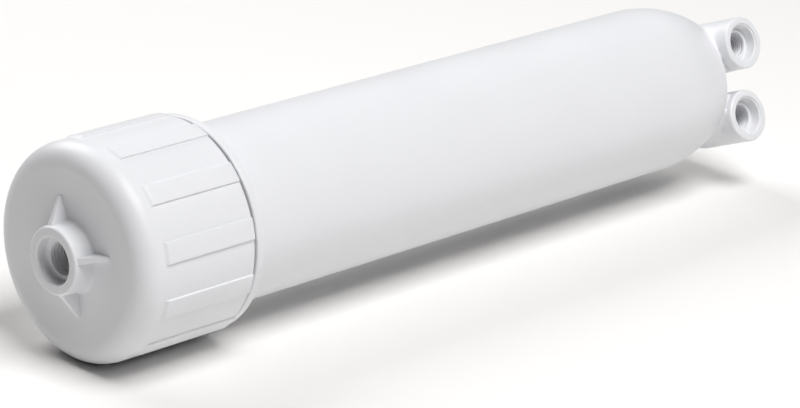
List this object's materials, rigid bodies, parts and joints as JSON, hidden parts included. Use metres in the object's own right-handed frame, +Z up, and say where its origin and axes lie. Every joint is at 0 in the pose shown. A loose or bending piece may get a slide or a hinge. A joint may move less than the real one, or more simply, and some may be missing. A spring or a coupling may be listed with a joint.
{
  "type": "reverse osmosis unit",
  "caption": "White reverse osmosis membrane vessel with a ribbed screw cap, a feed port in the cap, side ports at the far end and a spiral-wound membrane inside.",
  "frame": {"origin": "mouth of the feed port's thread, on the vessel's axis", "axes": "+X along the vessel from the screw cap to the side ports, +Z up, side ports on the -Y side 23 degrees above the horizontal"},
  "size_m": [0.3306, 0.0754, 0.0754],
  "materials": {
    "white_polypropylene": "smooth moulded, soft sheen",
    "seal_rubber": "smooth",
    "core_plastic": "satin",
    "end_cap_plastic": "satin",
    "membrane_film": "smooth film",
    "spacer_net": "extruded net",
    "carrier_cloth": "fine knit",
    "wrap_film": "glossy tape"
  },
  "bodies": {
    "housing": {"housing_body": "white_polypropylene"},
    "cap_seal": {"cap_o_ring": "seal_rubber"},
    "cap": {"screw_cap": "white_polypropylene"},
    "element": {"core_tube": "core_plastic", "core_plug": "core_plastic", "feed_end_cap": "end_cap_plastic", "brine_end_cap": "end_cap_plastic", "brine_seal": "seal_rubber", "permeate_o_ring_front": "seal_rubber", "permeate_o_ring_rear": "seal_rubber", "membrane_leaf_1": "membrane_film", "membrane_leaf_2": "membrane_film", "feed_spacer_1": "spacer_net", "feed_spacer_2": "spacer_net", "permeate_carrier_1": "carrier_cloth", "permeate_carrier_2": "carrier_cloth", "outer_wrap": "wrap_film"}
  },
  "joints": [
    {"name": "cap_turn", "type": "hinge", "parent": "housing", "child": "cap_seal", "pos_m": [0.0164, 0, 0], "axis": [-1, 0, 0], "range_deg": [0, 1620]},
    {"name": "cap_travel", "type": "slide", "parent": "cap_seal", "child": "cap", "axis": [-1, 0, 0], "range_m": [0, 0.02251]},
    {"name": "element_draw", "type": "slide", "parent": "housing", "child": "element", "axis": [-1, 0, 0], "range_m": [0, 0.02151]}
  ],
  "couplings": [
    {"joint": "cap_travel", "follows": "cap_turn", "m_per_rad": 0.00079577},
    {"joint": "element_draw", "follows": "cap_turn", "m_per_rad": 0.00076041}
  ]
}
